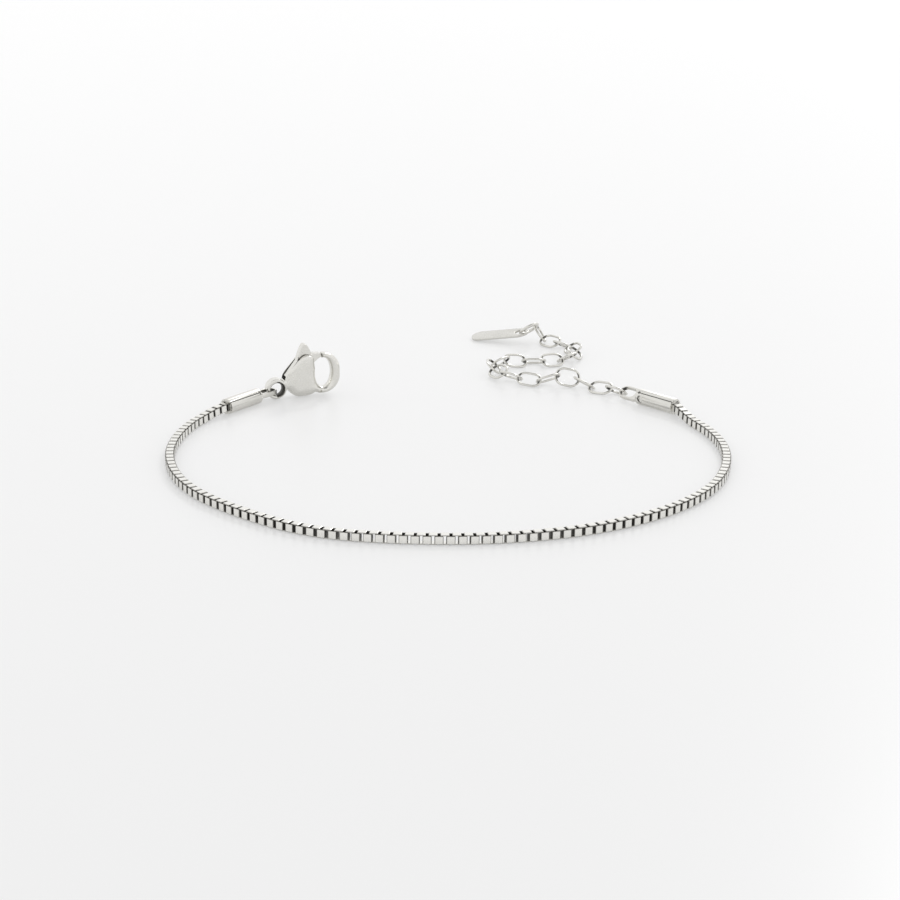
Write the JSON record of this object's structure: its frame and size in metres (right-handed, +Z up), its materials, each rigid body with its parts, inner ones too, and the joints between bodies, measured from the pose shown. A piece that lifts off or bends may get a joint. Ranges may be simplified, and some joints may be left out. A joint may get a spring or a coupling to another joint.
{
  "type": "chain bracelet",
  "caption": "Fine square box-link chain bracelet with crimped ends, a lever clasp, and an extender chain that ends in a small flat tag.",
  "frame": {"origin": "on the surface, under the middle of the whole bracelet's box as it lies", "axes": "+Z up; +Y away from the front of the wrist loop towards the tag; +X towards the extender's crimp"},
  "size_m": [0.073, 0.0934, 0.0078],
  "materials": {
    "chain": "polished stainless steel",
    "fittings": "polished stainless steel",
    "clasp": "polished stainless steel",
    "extender": "polished stainless steel"
  },
  "bodies": {
    "bracelet": {"box_chain": "chain", "clasp_crimp": "fittings", "extender_crimp": "fittings", "clasp_body": "clasp", "clasp_rivet": "clasp", "extender_chain": "extender", "tag_ring": "extender", "tag": "fittings"},
    "lever": {"clasp_lever": "clasp"}
  },
  "joints": [
    {"name": "clasp_lever_hinge", "type": "hinge", "parent": "bracelet", "child": "lever", "pos_m": [-0.02055, 0.01252, 0.00475], "axis": [0.3746, -0.9272, 0], "range_deg": [0, 25], "stiffness_Nm_per_rad": 0.0005, "springref_deg": -11.46}
  ]
}
